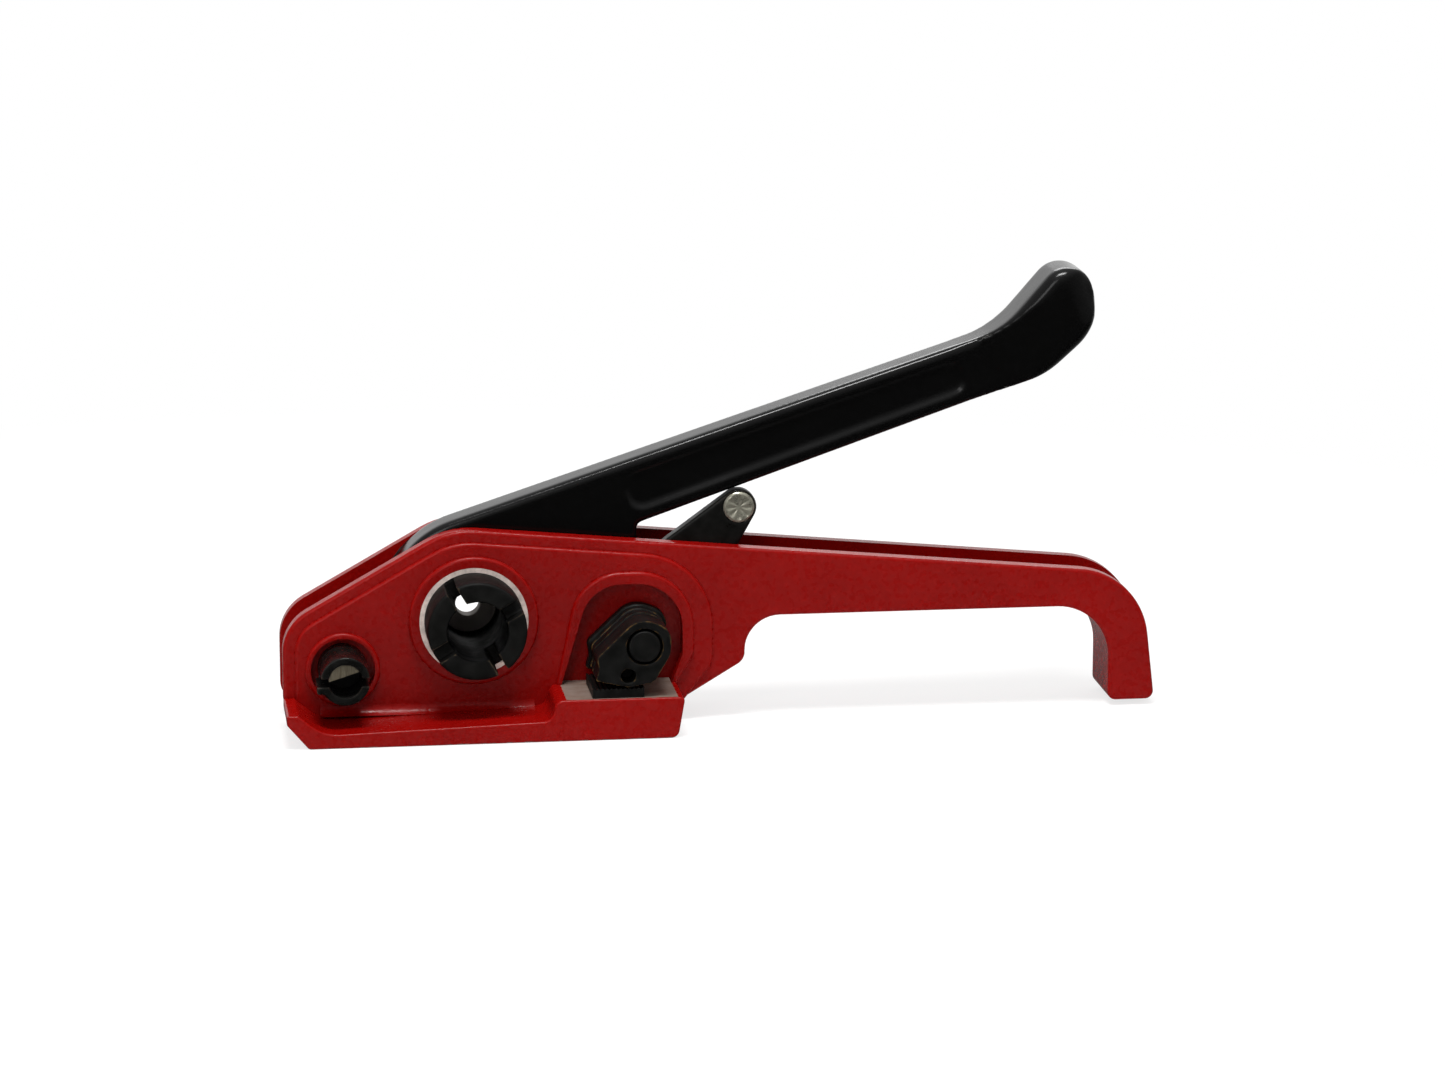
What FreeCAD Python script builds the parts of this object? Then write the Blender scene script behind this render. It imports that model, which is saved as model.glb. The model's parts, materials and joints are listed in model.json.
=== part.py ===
"""Manual windlass tensioner for plastic strapping, with a strap cutter.

Frame: millimetres, +X towards the rear grip, -Y towards the working side, +Z up.
X = 0 and Z = drum_height is the windlass axis, Y = 0 is the middle of the body
and Z = 0 is the underside of the base foot.
"""
import FreeCAD, Part
import math
import os

V = FreeCAD.Vector

# ---- body casting ---------------------------------------------------------
gap_width = 18.0            # between the two side plates
plate_wall = 5.75           # each side plate
shelf_depth = 26.5          # the foot in front of the near plate
drum_height = 39.3          # windlass axis above the base
nose_x = -68.2              # front end of the plates
nose_height = 38.7          # where the nose meets the sloping front edge
nose_radius = 17.0
nose_foot_height = 10.5     # top of the slope up from the flat underside
nose_foot_radius = 5.0
crown_x = -8.3              # corner above the windlass
crown_height = 72.5
crown_radius = 32.0
leg_foot_x = 248.9          # rear end: outer side of the leg at its foot
leg_draft = 5.4             # lean of the leg's outer side up to the heel
leg_foot_width = 17.3
heel_height = 49.2
heel_radius = 28.0
leg_foot_height = 2.0
grip_under_height = 37.5    # underside of the rear grip
throat_x = 98.0             # front end of the finger space
throat_radius = 12.8
throat_face = 16.2          # upright face in front of the finger space
throat_foot_radius = 5.0
finger_radius = 19.0
leg_edge_radius = 3.0
foot_edge_radius = 1.5
ramp_height = 4.9           # step behind the foot, where the ramp starts
web_wall = 4.5              # floor of the grip channel
floor_wall = 6.2            # floor between the plates
channel_round = 3.0         # inner corners of the space between the plates
channel_throat_radius = 14.0
base_front_x = -60.5        # flat underside, front end
base_rear_x = 70.6          # flat underside, rear end
rim_round = 1.3             # rounding of every cast edge
pad_step = 1.5              # height of each raised face of the near plate
pad_inset = 4.2             # plain rim round the raised pad
pad_foot_height = 3.0       # lower end of the pad, inside the shelf
pad_past_arch = 7.0
pad_arch_radius = 27.0
pad_heel_height = 21.0
pad_heel_radius = 8.0
pad_round = 1.2             # rounding of the raised faces
nose_lip_height = 12.3      # shelf: raised front lip
nose_lip_width = 4.0
nose_lip_run = 9.0          # slope from the lip down to the trough
nose_lip_radius = 14.0
trough_height = 5.0         # shelf: strap trough at its front end
trough_fillet_radius = 3.5
trough_step_radius = 4.0
trough_rise = 2.5           # shelf: rise of the trough to its rear end
trough_end_x = 25.5
anvil_height = 14.9         # shelf: top of the anvil
shelf_overhang = 2.6        # anvil block past the flat underside
shelf_round = 0.8

# ---- windlass -------------------------------------------------------------
drum_radius = 17.7
drum_reach = 20.0           # in front of the near plate
drum_bore_radius = 10.7
drum_floor_wall = 7.4       # end floor inside the drum
drum_tail_hole_radius = 4.5
strap_slot_width = 3.8
strap_slot_depth = 17.0
strap_slot_angle = -59.0    # degrees from +X
notch_width = 5.2
notch_depth = 5.0
notch_angle = 30.5
spindle_radius = 13.4
bush_wall = 1.8
boss_wall = 3.85            # cast ring round the near bush
ratchet_tip_radius = 24.5
ratchet_tooth_depth = 3.4
ratchet_teeth = 16
ratchet_width = 8.0
key_width = 4.0
key_length = 7.6
key_depth = 1.5
running_fit = 0.08          # radial, journals in their bushes
working_gap = 0.3           # between parts that move past each other
washer_thickness = 1.0
washer_band = 4.2
key_rise = 1.4              # key above the spindle
drum_edge_round = 1.0
tooth_back = 2.6            # width of a tooth's point, in degrees
circlip_thickness = 1.2
circlip_groove_depth = 0.9
shaft_end_margin = 0.8

# ---- main handle ----------------------------------------------------------
handle_width = 16.0
handle_angle = 19.1         # of the shank above +X
hub_radius = 31.0
shank_taper = 4.4           # fall of the top edge from the hub to the knob
shank_depth = 20.7          # at the knob
shank_end = 213.0           # where the shank turns up into the knob
knob_end = 250.3
knob_rise = 21.4            # slope of the top edge up to the round tip
knob_neck_radius = 36.0
knob_tip_radius = 10.0
knob_heel_radius = 20.0
knob_heel = 11.0            # rise of the underside towards the end
knob_sweep = 26.3           # length over which it rises
knob_under_radius = 30.0
knob_width = 25.0
knob_flare_lead = 17.0      # the sides start to widen this far before the neck
knob_bulge = 14.0           # widest part, before the end
hub_flat_start = -36.0      # where the hub turns into the fork, from the shank's direction
hub_flat_span = 54.0
fork_end = 67.0             # rear end of the fork cheeks
fork_drop = 16.0            # depth of their rear edge under the shank
fork_draft = 6.0
fork_round = 1.5
pocket_front = 4.0          # room for the wheel and the pawl, along and across the shank
pocket_rear = 58.0
pocket_top = 23.5
pocket_step = 6.0
pocket_slope = 8.0
handle_round = 2.4
knob_round = 4.5
panel_depth = 1.2           # recessed side panels
panel_margin = 4.6
panel_radius = 5.4
shim_thickness = 0.8
shim_oversize = 1.7
shim_play = 0.1

# ---- pawls ----------------------------------------------------------------
drive_pawl_u = 43.0         # pivot, along the shank and across it
drive_pawl_w = 9.0
drive_tip_angle = 43.0      # tip, from the shank's direction
drive_lift = 8.0            # turn that lifts the drive pawl clear of the teeth
hold_pawl_x = 36.0
hold_pawl_drop = 22.3       # pivot under the windlass axis
hold_tip_angle = -8.0
hold_lift = 9.0
hold_pin_seat = 1.7         # blind end of its pin in the near plate
tip_lag = 5.0               # angle from a tooth's point back to the pawl's tip
tip_depth = 2.6             # engaged tip above the root of the teeth
pawl_tip_radius = 1.2
pawl_tail_radius = 2.2
pawl_side_play = 0.3
pawl_pin_radius = 3.0
pawl_eye_radius = 6.0
pawl_back = 4.2             # half thickness of the arm
pawl_spring_length = 9.9
pawl_spring_radius = 1.6
pawl_spring_wire = 0.7
pawl_spring_turns = 5
pawl_spring_back = 13.0     # its place in front of the pawl's pivot
pawl_spring_cover = 3.2     # metal left over its hole
pawl_spring_hole_radius = 2.5
pawl_spring_hole_depth = 9.0

# ---- gripper --------------------------------------------------------------
gripper_x = 58.8
gripper_height = 33.3
gripper_shaft_radius = 5.6
cam_reach = 25.0            # in front of the near plate
cam_eye_radius = 10.2
cam_toe_x = 41.6
cam_toe_height = 29.6
cam_toe_radius = 3.0
cam_sole_height = 19.05
cam_chin_height = 21.3      # lower end of the toe
cam_sole_run = 11.5         # lowest point, behind the toe
cam_heel_run = 3.4
cam_plate = 12.0            # front layer of the cam
cam_layer = 4.6             # each layer behind it
cam_groove = 2.0
cam_groove_depth = 1.6
cam_flange = 1.0            # rear layer beyond the others
cam_hole_radius = 2.6
cam_hole_depth = 8.0
cam_hole_back = 5.9         # its place from the shaft
cam_hole_drop = 10.5
cam_ring_gap = 0.9          # clearance ring round the shaft's end
cam_ring_depth = 3.0
arch_x = 57.0               # middle of the arch boss
arch_radius = 22.3
arch_left_foot = 29.0       # x where the flared left side meets the anvil
arch_right_foot = 72.5
arch_flare = 8.7            # lean of the left side
arch_left_radius = 19.0
arch_right_radius = 20.8
arch_foot_rise = 10.0       # where the right side turns in, over the anvil
arch_foot_radius = 8.0
arch_sink = 1.4             # foot of the boss inside the shelf
arch_draft = 0.4            # share of the rim's width left at the feet
recess_inset = 4.3          # rim between the boss and its recess
recess_depth = 6.6
lever_pin_x = 96.6
lever_gap = 0.45            # under the handle's lower edge
lever_eye_radius = 6.5
lever_width = 6.0
lever_hub_radius = 10.5
lever_play = 0.7            # from the near plate
lever_round = 0.8
lever_hub_rear = 2.2
lever_pin_y = -0.2
lever_shoulder_x = 77.7     # broad middle of the lever
lever_shoulder_height = 55.0
lever_shoulder_radius = 12.6
cross_pin_radius = 5.6
cross_pin_length = 8.0
cross_pin_round = 0.6
anchor_back = 14.0          # spring anchor pin, from the gripper's axis
anchor_drop = 8.0
anchor_radius = 1.6
anchor_start_y = 2.6
spring_play = 0.4
plug_length = 18.4
plug_x = 40.2
plug_height = 18.45
plug_seat_height = 7.0
plug_setback = 1.2          # from the near plate
plug_front_margin = 0.8
anvil_thickness = 4.0
anvil_x = 30.8
anvil_length = 39.9
shelf_lip = 1.0             # casting left in front of the anvil
anvil_screw_inset = 5.0
serration_pitch = 1.6
serration_depth = 0.5

# ---- cutter ---------------------------------------------------------------
cutter_x = -47.0
cutter_height = 22.8
cutter_reach = 20.6
sleeve_radius = 8.8
sleeve_bore_radius = 6.0
sleeve_flange = 2.0
cutter_hole_radius = 11.5
cutter_boss_radius = 13.4
cutter_recess_floor = 3.5   # plate left behind the recess
cut_slot_height = 2.9
cut_slot_drop = 0.4         # slot's middle under the axis
cut_slot_margin = 2.0       # its rear end, in front of the boss
sleeve_lip_reach = 1.3
sleeve_lip_height = 2.7
blade_chord = 1.8           # flat of the half-round blade above its axis
blade_tilt = 17.8
crank_reach = 12.6
crank_width = 5.0
crank_start_y = 1.0
crank_tip_radius = 3.4
crank_angle = 75.0
crank_wall = 3.2

# ---- small parts ----------------------------------------------------------
roll_pin_radius = 1.5
screw_radius = 2.0
screw_head_radius = 4.0
screw_sink = 0.8            # heads below the underside of the foot
screw_head_height = 2.2
screw_socket_depth = 1.4
screw_cover = 1.2           # anvil left over a screw's end
plug_screw_top = 12.5
set_screw_radius = 1.25
circlip_band = 1.6
circlip_ear_radius = 1.7
circlip_ear_hole = 0.7
washer_play = 0.1
circlip_play = 0.2
overrun = 10.0              # cutting shapes run this far past the metal
spring_wire = 1.2

half_gap = gap_width / 2
rim_y = half_gap + plate_wall
shelf_y = rim_y + shelf_depth
pad_y = rim_y + pad_step
boss_y = pad_y + pad_step
drum_axis = (0.0, drum_height)
gripper_axis = (gripper_x, gripper_height)
cutter_axis = (cutter_x, cutter_height)
cam_hole = (gripper_x - cam_hole_back, gripper_height - cam_hole_drop)
hold_axis = (hold_pawl_x, drum_height - hold_pawl_drop)
ratchet_root_radius = ratchet_tip_radius - ratchet_tooth_depth
cheek_inner = ratchet_width / 2 + working_gap
heel_x = leg_foot_x - leg_draft
leg_inner_x = leg_foot_x - leg_foot_width
throat_foot_height = grip_under_height - throat_face
ramp_slope = (throat_foot_height - ramp_height) / (throat_x - base_rear_x)
top_slope = (heel_height - crown_height) / (heel_x - crown_x)
front_slope = (crown_height - nose_height) / (crown_x - nose_x)
shank_low = hub_radius - shank_depth
knob_flare_start = shank_end - knob_flare_lead
plug_rear_y = -rim_y - plug_setback
far_end_y = rim_y + washer_thickness + circlip_thickness + shaft_end_margin + circlip_play


# ---- drawing helpers ------------------------------------------------------
def rounded_wire(corners):
    """Closed wire in the XZ plane through (x, z, radius) corners."""
    count = len(corners)
    marks = []
    for i, (x, z, radius) in enumerate(corners):
        here = V(x, 0, z)
        before = V(corners[i - 1][0], 0, corners[i - 1][1]) - here
        after = V(corners[(i + 1) % count][0], 0, corners[(i + 1) % count][1]) - here
        before.normalize()
        after.normalize()
        half = before.getAngle(after) / 2
        trim = radius / math.tan(half)
        inward = before + after
        if radius:
            inward.normalize()
        middle = here + inward * (radius / math.sin(half) - radius)
        marks.append((here + before * trim, middle, here + after * trim, radius))
    edges = []
    for i, (start, middle, end, radius) in enumerate(marks):
        if radius:
            edges.append(Part.Arc(start, middle, end).toShape())
        following = marks[(i + 1) % count][0]
        if (following - end).Length > 1e-6:
            edges.append(Part.LineSegment(end, following).toShape())
    return Part.Wire(edges)


def slab(corners, y_from, y_to):
    """Prism of a rounded outline between two Y planes."""
    face = Part.Face(rounded_wire(corners))
    face.translate(V(0, y_from, 0))
    return face.extrude(V(0, y_to - y_from, 0))


def disc(axis, radius, y_from, y_to):
    return Part.makeCylinder(radius, y_to - y_from, V(axis[0], y_from, axis[1]), V(0, 1, 0))


def ring(axis, outer, inner, y_from, y_to):
    return disc(axis, outer, y_from, y_to).cut(disc(axis, inner, y_from, y_to))


def block(x_from, x_to, y_from, y_to, z_from, z_to):
    return Part.makeBox(x_to - x_from, y_to - y_from, z_to - z_from, V(x_from, y_from, z_from))


def belt(first, first_radius, second, second_radius, y_from, y_to):
    """Prism of two circles and their outer tangents."""
    dx = second[0] - first[0]
    dz = second[1] - first[1]
    span = math.hypot(dx, dz)
    lean = math.asin((first_radius - second_radius) / span)
    heading = math.atan2(dz, dx)
    corners = []
    for axis, radius, side in ((first, first_radius, 1), (second, second_radius, 1),
                               (second, second_radius, -1), (first, first_radius, -1)):
        angle = heading + side * (math.pi / 2 - lean)
        corners.append((axis[0] + radius * math.cos(angle), axis[1] + radius * math.sin(angle), 0))
    strip = slab(corners, y_from, y_to)
    ends = disc(first, first_radius, y_from, y_to).fuse(disc(second, second_radius, y_from, y_to))
    return strip.fuse(ends).removeSplitter()


def round_face_edges(solid, y_plane, radius):
    """Round every edge that lies in one Y plane."""
    chosen = [edge for edge in solid.Edges
              if abs(edge.BoundBox.YMin - y_plane) < 1e-6 and abs(edge.BoundBox.YMax - y_plane) < 1e-6]
    return solid.makeFillet(radius, chosen)


def turned(shape, axis, degrees):
    """Turn a shape about a Y axis; positive lifts +X towards +Z."""
    copy = shape.copy()
    copy.rotate(V(axis[0], 0, axis[1]), V(0, -1, 0), degrees)
    return copy


def polar(axis, radius, degrees):
    angle = math.radians(degrees)
    return (axis[0] + radius * math.cos(angle), axis[1] + radius * math.sin(angle))


def circlip(axis, shaft_radius, y_from):
    """External retaining ring, open at its lower side, with two ears."""
    seat = shaft_radius - circlip_groove_depth
    outer = shaft_radius + circlip_band
    clip = ring(axis, outer, seat, y_from, y_from + circlip_thickness)
    for angle in (-60, -120):
        ear = polar(axis, outer, angle)
        clip = clip.fuse(disc(ear, circlip_ear_radius, y_from, y_from + circlip_thickness))
        clip = clip.cut(disc(axis, seat, y_from, y_from + circlip_thickness))
        clip = clip.cut(disc(ear, circlip_ear_hole, y_from, y_from + circlip_thickness))
    mouth = block(axis[0] - shaft_radius * 0.3, axis[0] + shaft_radius * 0.3, y_from - 1,
                  y_from + circlip_thickness + 1, axis[1] - outer - overrun, axis[1])
    return clip.cut(mouth)


def circlip_groove(axis, shaft_radius, y_from):
    return ring(axis, shaft_radius + 1, shaft_radius - circlip_groove_depth,
                y_from, y_from + circlip_thickness)


def coil(axis, mean_radius, turns, y_from, y_to):
    """Close-wound torsion spring round a Y axis."""
    pitch = (y_to - y_from - spring_wire) / turns
    helix = Part.makeHelix(pitch, pitch * turns, mean_radius)
    section = Part.Wire(Part.makeCircle(spring_wire / 2, V(mean_radius, 0, 0), V(0, 1, 0)))
    spring = Part.Wire(helix).makePipeShell([section], True, True)
    spring.rotate(V(0, 0, 0), V(1, 0, 0), -90)
    spring.translate(V(axis[0], y_from + spring_wire / 2, axis[1]))
    return spring


def save(name, shape):
    shape = shape.removeSplitter() if len(shape.Solids) == 1 else shape
    solids = shape.Solids
    shape = solids[0] if len(solids) == 1 else Part.makeCompound(solids)
    print(name, len(solids), round(shape.Volume / 1000, 2), shape.isValid())
    shape.exportStep("parts/" + name + ".step")


# ---- body casting ---------------------------------------------------------
def plate_outline():
    """Side view of both plates, the rear grip and its leg."""
    return [
        (base_front_x, 0, foot_edge_radius),
        (nose_x, nose_foot_height, nose_foot_radius),
        (nose_x, nose_height, nose_radius),
        (crown_x, crown_height, crown_radius),
        (heel_x, heel_height, heel_radius),
        (leg_foot_x, leg_foot_height, leg_edge_radius),
        (leg_inner_x, leg_foot_height, leg_edge_radius),
        (leg_inner_x, grip_under_height, finger_radius),
        (throat_x, grip_under_height, throat_radius),
        (throat_x, throat_foot_height, throat_foot_radius),
        (base_rear_x, ramp_height, foot_edge_radius),
        (base_rear_x, 0, foot_edge_radius),
    ]


def channel_outline():
    """Space between the plates, open upwards and at the back of the leg."""
    above = crown_height + overrun
    behind = leg_foot_x + overrun
    ramp_x = throat_x - web_wall
    ramp_wall = web_wall * math.hypot(1, ramp_slope)
    floor_end_x = base_rear_x + (floor_wall - ramp_height - ramp_wall) / ramp_slope
    return [
        (nose_x - overrun, above, 0),
        (nose_x - overrun, floor_wall, 0),
        (floor_end_x, floor_wall, channel_round),
        (ramp_x, ramp_height + (ramp_x - base_rear_x) * ramp_slope + ramp_wall, channel_round),
        (ramp_x, grip_under_height + web_wall, channel_throat_radius),
        (leg_inner_x + web_wall, grip_under_height + web_wall, finger_radius + web_wall),
        (leg_inner_x + web_wall, leg_foot_height + web_wall, channel_round),
        (behind, leg_foot_height + web_wall, 0),
        (behind, above, 0),
    ]


def pad_outline():
    """Raised pad of the near plate, ending in an arc round the gripper."""
    drop_front = pad_inset * math.hypot(1, front_slope)
    drop_top = pad_inset * math.hypot(1, top_slope)
    front_z = crown_height - drop_front
    top_z = crown_height - drop_top
    meet = (drop_front - drop_top) / (front_slope - top_slope)
    left = nose_x + pad_inset
    right = arch_x + arch_radius + pad_past_arch
    return [
        (left, pad_foot_height, 0),
        (left, front_z + (left - crown_x) * front_slope, nose_radius - pad_inset),
        (crown_x + meet, top_z + meet * top_slope, crown_radius - pad_inset),
        (right, top_z + (right - crown_x) * top_slope, pad_arch_radius),
        (right, pad_heel_height, pad_heel_radius),
        (base_rear_x + foot_edge_radius, pad_foot_height, 0),
    ]


def arch_outline(inset):
    """Arch boss round the gripper; its left side flares to the end of the anvil."""
    top = gripper_height + arch_radius - inset
    right = arch_x + arch_radius - inset
    return [
        (arch_left_foot + inset * arch_draft, anvil_height - arch_sink, 0),
        (arch_left_foot + arch_flare + inset, top, arch_left_radius - inset),
        (right, top, arch_right_radius - inset),
        (right, anvil_height + arch_foot_rise, arch_foot_radius),
        (arch_right_foot - inset * arch_draft, anvil_height - arch_sink, 0),
    ]


def shelf_outline():
    """Front view of the foot: lip, strap trough and anvil block."""
    return [
        (base_front_x, 0, foot_edge_radius),
        (nose_x, nose_foot_height - foot_edge_radius, foot_edge_radius),
        (nose_x, nose_lip_height, shelf_round),
        (nose_x + nose_lip_width, nose_lip_height, foot_edge_radius),
        (nose_x + nose_lip_width + nose_lip_run, trough_height, nose_lip_radius),
        (trough_end_x, trough_height + trough_rise, trough_step_radius),
        (trough_end_x + foot_edge_radius, anvil_height, leg_edge_radius),
        (base_rear_x + shelf_overhang, anvil_height, foot_edge_radius),
        (base_rear_x, 0, leg_edge_radius),
    ]


def trough_fillet():
    """Cast fillet where the trough floor meets the near plate."""
    radius = trough_fillet_radius
    front = -pad_y - radius
    start = nose_x + nose_lip_width + nose_lip_run
    length = trough_end_x - trough_step_radius - start
    floor = trough_height + trough_rise / 2
    corner = Part.makeBox(length, radius + pad_step, radius, V(start, front, floor))
    hollow = Part.makeCylinder(radius, length, V(start, front, floor + radius), V(1, 0, 0))
    return corner.cut(hollow)


def anvil_pocket():
    return block(anvil_x, anvil_x + anvil_length, -shelf_y + shelf_lip, -boss_y + recess_depth,
                 anvil_height - anvil_thickness, anvil_height)


def plug_block(top):
    return block(plug_x, plug_x + plug_length,
                 -shelf_y + shelf_lip + plug_front_margin, plug_rear_y, plug_seat_height, top)


def screw_places():
    middle = -(shelf_y + rim_y) / 2
    return [(anvil_x + anvil_screw_inset, middle), (anvil_x + anvil_length - anvil_screw_inset, middle)]


def foot_screw(x, y, top):
    """Countersunk screw put in from under the foot."""
    shank = Part.makeCylinder(screw_radius, top - screw_sink, V(x, y, screw_sink))
    head = Part.makeCone(screw_head_radius, screw_radius, screw_head_height, V(x, y, screw_sink))
    socket = Part.makeCylinder(screw_radius * 0.6, screw_socket_depth, V(x, y, screw_sink))
    return shank.fuse(head).cut(socket)


def foot_screw_hole(x, y, top):
    mouth = Part.makeCylinder(screw_head_radius, screw_sink, V(x, y, 0))
    return Part.makeCylinder(screw_radius, top, V(x, y, 0)).fuse([
        mouth, Part.makeCone(screw_head_radius, screw_radius, screw_head_height, V(x, y, screw_sink))])


def plug_screw_place():
    return (plug_x + plug_length / 2, -(shelf_y + rim_y) / 2)


def body_casting():
    plates = slab(plate_outline(), -rim_y, rim_y)
    plates = round_face_edges(plates, -rim_y, rim_round)
    plates = round_face_edges(plates, rim_y, rim_round)
    pad = round_face_edges(slab(pad_outline(), -pad_y, -rim_y + 1), -pad_y, rim_round)
    arch = round_face_edges(slab(arch_outline(0), -boss_y, -rim_y), -boss_y, rim_round)
    drum_boss_radius = drum_radius + bush_wall + boss_wall
    drum_boss = round_face_edges(disc(drum_axis, drum_boss_radius, -boss_y, -rim_y), -boss_y, pad_round)
    cutter_boss = round_face_edges(disc(cutter_axis, cutter_boss_radius, -boss_y, -rim_y), -boss_y, pad_round)
    shelf = round_face_edges(slab(shelf_outline(), -shelf_y, -rim_y + pad_step), -shelf_y, shelf_round)
    body = plates.fuse([pad, arch, drum_boss, cutter_boss, shelf, trough_fillet()])
    cuts = [
        slab(channel_outline(), -half_gap, half_gap),
        disc(drum_axis, drum_radius + bush_wall, -boss_y, -half_gap),
        disc(drum_axis, spindle_radius + bush_wall, half_gap, rim_y),
        disc(cutter_axis, cutter_hole_radius, -boss_y, -half_gap - cutter_recess_floor),
        disc(cutter_axis, sleeve_radius, -boss_y, -half_gap),
        disc(cutter_axis, sleeve_bore_radius, half_gap, rim_y),
        slab(arch_outline(recess_inset), -boss_y - 1, -boss_y + recess_depth),
        disc(gripper_axis, gripper_shaft_radius + running_fit, -boss_y, rim_y),
        holding_pawl_pin(),
        anvil_pocket(),
        plug_block(plug_height + overrun),
        foot_screw_hole(*plug_screw_place(), plug_screw_top),
        sleeve_screw(nose_x - 1),
        spring_anchor_pin(),
    ]
    for x, y in screw_places():
        cuts.append(foot_screw_hole(x, y, anvil_height - screw_cover))
    return body.cut(cuts)


def anvil_plate():
    plate = anvil_pocket().cut(plug_block(plug_height + overrun))
    for x, y in screw_places():
        plate = plate.cut(foot_screw_hole(x, y, anvil_height - screw_cover))
    return plate


def anvil_screws():
    return Part.makeCompound([foot_screw(x, y, anvil_height - screw_cover) for x, y in screw_places()])


def plug_screw():
    return foot_screw(*plug_screw_place(), plug_screw_top)


def gripper_plug():
    plug = plug_block(plug_height)
    count = int(plug_length / serration_pitch)
    start = plug_x + (plug_length - (count - 1) * serration_pitch) / 2
    for i in range(count):
        x = start + i * serration_pitch
        groove = Part.Face(Part.makePolygon([
            V(x - serration_pitch / 2 + 0.1, -shelf_y, plug_height + 0.01),
            V(x, -shelf_y, plug_height - serration_depth),
            V(x + serration_pitch / 2 - 0.1, -shelf_y, plug_height + 0.01),
            V(x - serration_pitch / 2 + 0.1, -shelf_y, plug_height + 0.01)]))
        plug = plug.cut(groove.extrude(V(0, shelf_depth, 0)))
    return plug.cut(foot_screw_hole(*plug_screw_place(), plug_screw_top))


# ---- windlass -------------------------------------------------------------
def drum_bush_near():
    return ring(drum_axis, drum_radius + bush_wall, drum_radius + running_fit, -boss_y, -half_gap)


def drum_bush_far():
    return ring(drum_axis, spindle_radius + bush_wall, spindle_radius + running_fit, half_gap, rim_y)


def cross_slot(angle, width, depth):
    """Slot across the open end of the drum."""
    front = -rim_y - drum_reach
    reach = drum_radius + 1
    cut = block(-reach, reach, front - 1, front + depth, drum_height - width / 2,
                drum_height + width / 2)
    return turned(cut, drum_axis, angle)


def drum_key_solid():
    top = spindle_radius + key_rise
    return block(-key_width / 2, key_width / 2, -key_length / 2, key_length / 2,
                 drum_height + spindle_radius - key_depth, drum_height + top)


def windlass_drum():
    front = -rim_y - drum_reach
    barrel = disc(drum_axis, drum_radius, front, -half_gap)
    barrel = round_face_edges(barrel, front, drum_edge_round)
    spindle = disc(drum_axis, spindle_radius, -half_gap, far_end_y)
    drum = barrel.fuse(spindle)
    bore_end = far_end_y - drum_floor_wall
    cuts = [
        disc(drum_axis, drum_bore_radius, front - 1, bore_end),
        disc(drum_axis, drum_tail_hole_radius, bore_end - 1, far_end_y + 1),
        cross_slot(strap_slot_angle, strap_slot_width, strap_slot_depth),
        cross_slot(notch_angle, notch_width, notch_depth),
        drum_key_solid(),
        circlip_groove(drum_axis, spindle_radius, rim_y + washer_thickness + circlip_play),
    ]
    return drum.cut(cuts)


def ratchet_wheel():
    pitch = 360 / ratchet_teeth
    points = []
    for tooth in range(ratchet_teeth):
        angle = tooth * pitch + drive_tip_angle + handle_angle
        for radius, offset in ((ratchet_root_radius, 0), (ratchet_tip_radius, 0.6),
                               (ratchet_tip_radius, tooth_back)):
            x, z = polar(drum_axis, radius, angle + offset)
            points.append((x, z, 0))
    wheel = slab(points, -ratchet_width / 2, ratchet_width / 2)
    wheel = wheel.cut(disc(drum_axis, spindle_radius, -half_gap, half_gap))
    return wheel.cut(drum_key_solid())


def drum_washer():
    return ring(drum_axis, spindle_radius + washer_band, spindle_radius + washer_play,
                rim_y + washer_play, rim_y + washer_play + washer_thickness)


def drum_circlip():
    return circlip(drum_axis, spindle_radius, rim_y + washer_thickness + circlip_play)


# ---- main handle ----------------------------------------------------------
def handle_point(u, w):
    """World (x, z) of a point along and across the resting shank."""
    angle = math.radians(handle_angle)
    return (u * math.cos(angle) - w * math.sin(angle),
            drum_height + u * math.sin(angle) + w * math.cos(angle))


def handle_corners(points):
    return [handle_point(u, w) + (radius,) for u, w, radius in points]


def shank_top(u):
    """Height of the sloping top edge of the shank."""
    return hub_radius + shank_taper * (shank_end - u) / (shank_end + hub_radius)


def knob_corners():
    """Corners of the knob, from the top of its neck round to its underside."""
    return [
        (shank_end, hub_radius, knob_neck_radius),
        (knob_end, hub_radius + knob_rise, knob_tip_radius),
        (knob_end, shank_low + knob_heel, knob_heel_radius),
        (knob_end - knob_sweep, shank_low, knob_under_radius),
    ]


def shank_outline():
    """Hub, fork cheeks and shank in one closed outline."""
    tangent = hub_radius / math.cos(math.radians(hub_flat_span / 2))
    meet = polar((0, 0), hub_radius, hub_flat_start)
    under = polar((0, 0), tangent, hub_flat_start - hub_flat_span / 2)
    upper_radius = hub_radius + shank_taper * 0.84
    front = [(-hub_radius, shank_top(-hub_radius), upper_radius)]
    fork = [
        (fork_end, shank_low, fork_round),
        (fork_end - fork_draft, shank_low - fork_drop, fork_round * 2),
        (meet[0], meet[1], fork_round),
        (under[0], under[1], hub_radius - fork_round),
        (-hub_radius, -hub_radius, hub_radius - shim_play),
    ]
    return handle_corners(front + knob_corners() + fork)


def knob_outline():
    """Side view of the knob and the end of the shank that runs into it."""
    start = [(knob_flare_start, shank_low, 0), (knob_flare_start, shank_top(knob_flare_start), 0)]
    return handle_corners(start + knob_corners())


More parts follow.
